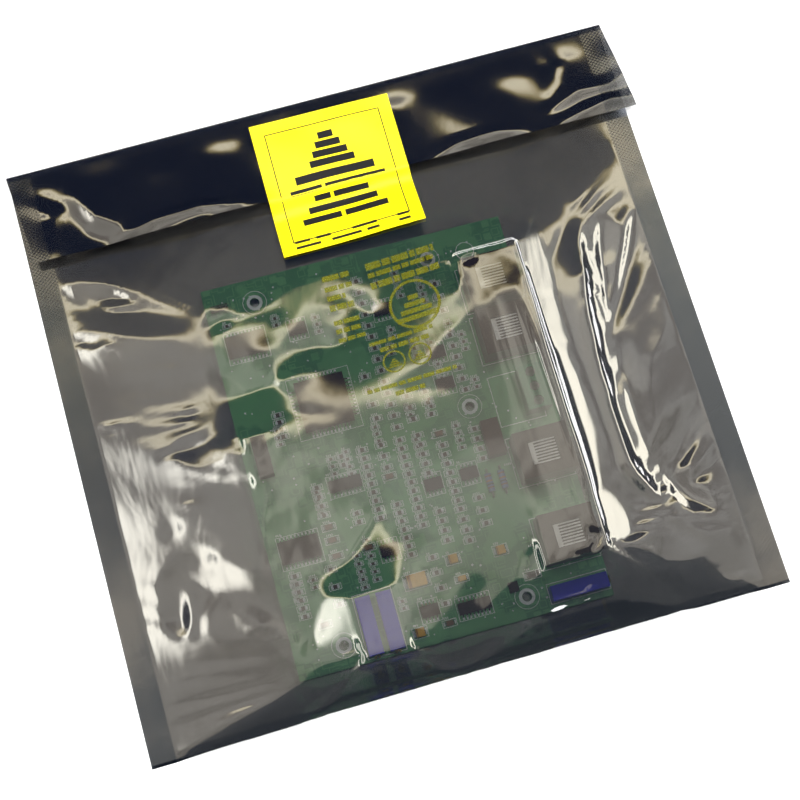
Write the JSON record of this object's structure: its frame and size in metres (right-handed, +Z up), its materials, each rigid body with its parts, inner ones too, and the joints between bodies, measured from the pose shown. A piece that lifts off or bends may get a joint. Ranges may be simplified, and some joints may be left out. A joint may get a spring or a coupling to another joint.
{
  "type": "anti static shielding bag",
  "caption": "Flat translucent metallised shielding bag with heat sealed sides, top folded over and held by a yellow label, with a green circuit board inside.",
  "frame": {"origin": "middle of the bottom fold, on the back of the bag, at the level it rests on", "axes": "+X across the bag to the right, +Y up the bag from the bottom fold to the top fold, +Z up from the back film to the front film"},
  "size_m": [0.2222, 0.2106, 0.0156],
  "materials": {
    "film": "gloss metallised film",
    "label": "satin printed paper",
    "board": "satin solder mask",
    "jack": "satin moulded",
    "brass": "satin",
    "steel": "satin",
    "terminal": "satin moulded",
    "trimmer": "satin moulded",
    "chip": "matt moulded",
    "tantalum": "matt moulded",
    "resistor": "gloss lacquer",
    "capacitor": "matt ceramic"
  },
  "bodies": {
    "root": {"amplifier_1": "chip", "amplifier_2": "chip", "amplifier_3": "chip", "amplifier_4": "chip", "amplifier_5": "chip", "amplifier_6": "chip", "amplifier_7": "chip", "amplifier_8": "chip", "axial_resistor_1": "resistor", "axial_resistor_2": "resistor", "chip_capacitor_1": "capacitor", "chip_capacitor_2": "capacitor", "chip_capacitor_3": "capacitor", "chip_capacitor_4": "capacitor", "chip_capacitor_5": "capacitor", "chip_capacitor_6": "capacitor", "chip_capacitor_7": "capacitor", "chip_capacitor_8": "capacitor", "circuit_board": "board", "closure_label": "label", "crystal": "steel", "diode": "chip", "edge_header": "chip", "jack_contacts_a": "brass", "jack_contacts_b": "brass", "jack_contacts_c": "brass", "jack_contacts_d": "brass", "jack_housing_a": "jack", "jack_housing_b": "jack", "jack_housing_c": "jack", "jack_housing_d": "jack", "logic_chip_1": "chip", "logic_chip_2": "chip", "main_chip": "chip", "relay": "chip", "shielding_bag": "film", "tantalum_1": "tantalum", "tantalum_2": "tantalum", "tantalum_3": "tantalum", "tantalum_4": "tantalum", "tantalum_5": "tantalum", "terminal_block": "terminal", "terminal_screw_1": "steel", "terminal_screw_2": "steel", "terminal_screw_3": "steel", "transistor": "chip", "trimmer_body_a": "trimmer", "trimmer_body_b": "trimmer", "trimmer_body_c": "trimmer", "trimmer_screw_a": "brass", "trimmer_screw_b": "brass", "trimmer_screw_c": "brass", "wide_chip_lower": "chip", "wide_chip_upper": "chip"}
  },
  "joints": []
}
